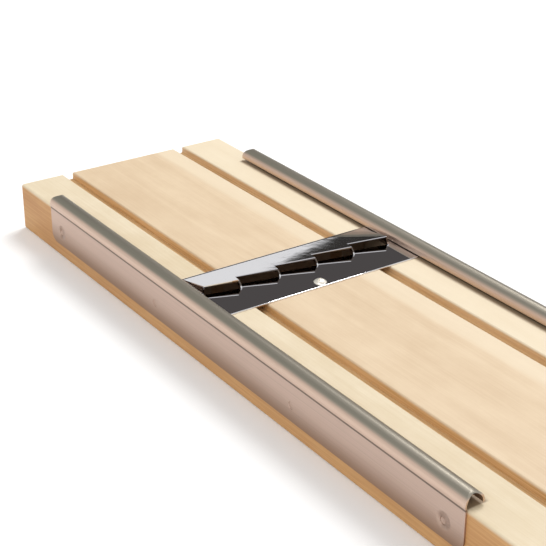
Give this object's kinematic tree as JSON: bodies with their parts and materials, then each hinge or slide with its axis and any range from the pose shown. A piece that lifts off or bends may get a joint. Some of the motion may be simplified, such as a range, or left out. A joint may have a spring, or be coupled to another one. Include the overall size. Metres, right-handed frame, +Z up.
{
  "type": "mandoline slicer",
  "caption": "Flat wooden mandoline slicer: grooved staved board, a pressed steel cutter plate with skewed mouths over a slice window, and beaded metal guide rails.",
  "frame": {"origin": "centre of the board's underside", "axes": "+X to the right across the board, +Y along the board from the near end to the far end, +Z up out of the working face"},
  "size_m": [0.11, 0.345, 0.0275],
  "materials": {
    "side_wood": "planed beech, unvarnished, pale cream",
    "panel_wood": "planed beech, unvarnished, slightly pinker than the side staves",
    "plate_steel": "polished stainless sheet",
    "rail_metal": "drawn, satin along its length",
    "fastener_steel": "plain bright steel"
  },
  "bodies": {
    "root": {"left_stile": "side_wood", "right_stile": "side_wood", "far_panel": "panel_wood", "near_panel": "panel_wood", "cutter_plate": "plate_steel", "plate_screw": "fastener_steel", "left_rail": "rail_metal", "right_rail": "rail_metal", "left_rail_nails": "fastener_steel", "right_rail_nails": "fastener_steel"}
  },
  "joints": []
}
